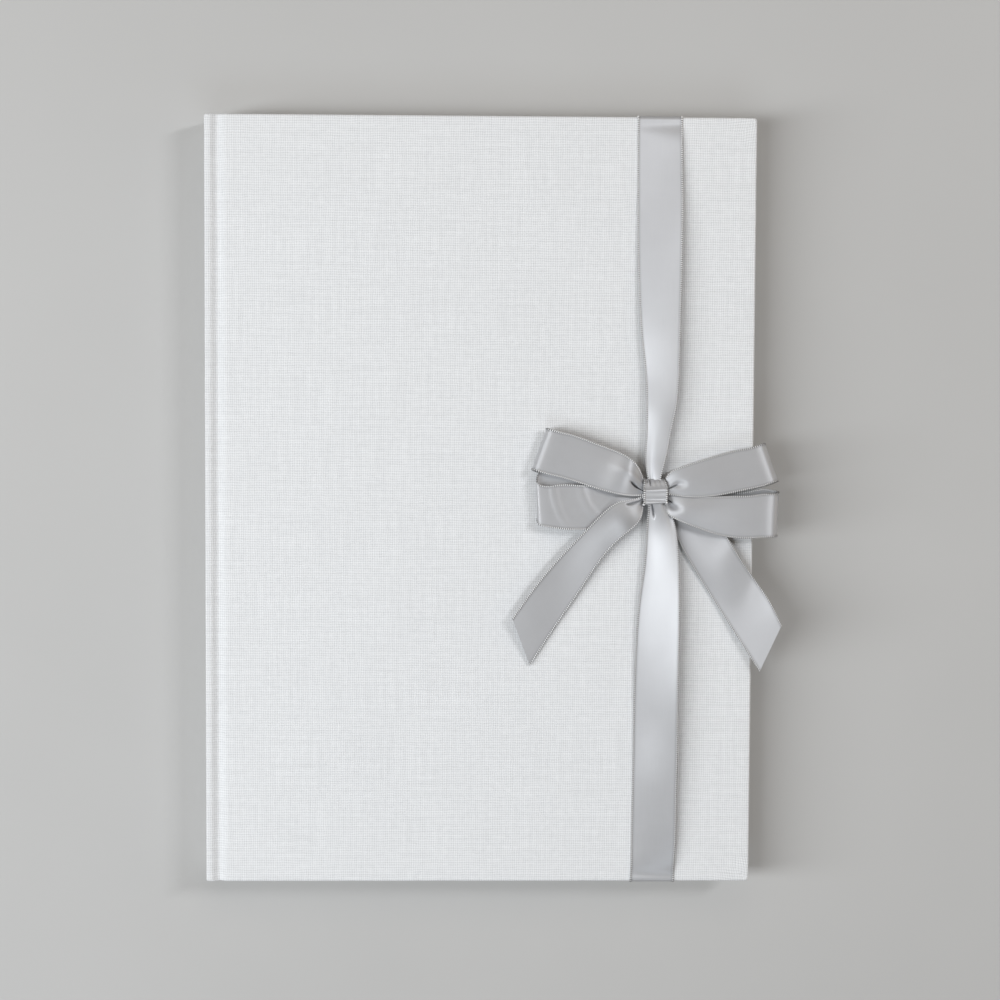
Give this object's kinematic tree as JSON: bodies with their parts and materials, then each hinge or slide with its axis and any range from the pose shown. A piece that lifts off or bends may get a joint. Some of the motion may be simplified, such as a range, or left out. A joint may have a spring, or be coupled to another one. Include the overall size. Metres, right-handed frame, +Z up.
{
  "type": "wedding guest book",
  "caption": "Cloth-covered hardback guest book with a French groove, sewn sections and a satin ribbon band tied in a double bow on the front cover.",
  "frame": {"origin": "centre of the back cover's underside, which the closed book lies on", "axes": "+X from the spine to the fore-edge, +Y from the tail to the head of the pages, +Z up through the closed book to its front cover"},
  "size_m": [0.2288, 0.3058, 0.0286],
  "materials": {
    "book_cloth": "matt white linen-weave book cloth",
    "satin_ribbon": "silver-grey double-faced satin with a woven selvedge",
    "greyboard": "uncoated",
    "page_paper": "uncoated ivory-white cartridge",
    "endpaper": "uncoated",
    "gauze": "open weave",
    "headband": "white sewn silk edging"
  },
  "bodies": {
    "back_cover": {"back_cover_cloth": "book_cloth", "back_board": "greyboard", "back_joint_cloth": "book_cloth", "back_hinge_gauze": "gauze", "back_pastedown": "endpaper", "back_flyleaf": "endpaper", "section_8": "page_paper"},
    "spine": {"spine_board": "greyboard", "spine_cloth": "book_cloth", "headband": "headband", "tailband": "headband"},
    "front_cover": {"front_cover_cloth": "book_cloth", "front_board": "greyboard", "front_joint_cloth": "book_cloth", "front_hinge_gauze": "gauze", "front_pastedown": "endpaper", "front_flyleaf": "endpaper", "section_1": "page_paper", "ribbon_band": "satin_ribbon", "bow_loop_upper_left": "satin_ribbon", "bow_loop_lower_left": "satin_ribbon", "bow_loop_upper_right": "satin_ribbon", "bow_loop_lower_right": "satin_ribbon", "bow_tail_left": "satin_ribbon", "bow_tail_right": "satin_ribbon", "bow_knot_wrap": "satin_ribbon", "bow_gathered_centre": "satin_ribbon"},
    "section_2": {"section_2": "page_paper"},
    "section_3": {"section_3": "page_paper"},
    "section_4": {"section_4": "page_paper"},
    "section_5": {"section_5": "page_paper"},
    "section_6": {"section_6": "page_paper"},
    "section_7": {"section_7": "page_paper"}
  },
  "joints": [
    {"name": "spine_hinge", "type": "hinge", "parent": "back_cover", "child": "spine", "pos_m": [-0.1057, 0, 0.0033], "axis": [0, -1, 0], "range_deg": [0, 87.5]},
    {"name": "front_cover_hinge", "type": "hinge", "parent": "spine", "child": "front_cover", "pos_m": [-0.1057, 0, 0.0167], "axis": [0, -1, 0], "range_deg": [0, 87.5]},
    {"name": "section_2_shift", "type": "slide", "parent": "front_cover", "child": "section_2", "axis": [-1, 0, 0], "range_m": [0, 0.00168]},
    {"name": "section_3_shift", "type": "slide", "parent": "front_cover", "child": "section_3", "axis": [-1, 0, 0], "range_m": [0, 0.00336]},
    {"name": "section_4_shift", "type": "slide", "parent": "front_cover", "child": "section_4", "axis": [-1, 0, 0], "range_m": [0, 0.00504]},
    {"name": "section_5_shift", "type": "slide", "parent": "back_cover", "child": "section_5", "axis": [-1, 0, 0], "range_m": [0, 0.00504]},
    {"name": "section_6_shift", "type": "slide", "parent": "back_cover", "child": "section_6", "axis": [-1, 0, 0], "range_m": [0, 0.00336]},
    {"name": "section_7_shift", "type": "slide", "parent": "back_cover", "child": "section_7", "axis": [-1, 0, 0], "range_m": [0, 0.00168]}
  ],
  "couplings": [
    {"joint": "spine_hinge", "follows": "front_cover_hinge", "ratio": 1},
    {"joint": "section_2_shift", "follows": "front_cover_hinge", "m_per_rad": 0.0011},
    {"joint": "section_3_shift", "follows": "front_cover_hinge", "m_per_rad": 0.0022},
    {"joint": "section_4_shift", "follows": "front_cover_hinge", "m_per_rad": 0.0033},
    {"joint": "section_5_shift", "follows": "front_cover_hinge", "m_per_rad": 0.0033},
    {"joint": "section_6_shift", "follows": "front_cover_hinge", "m_per_rad": 0.0022},
    {"joint": "section_7_shift", "follows": "front_cover_hinge", "m_per_rad": 0.0011}
  ]
}
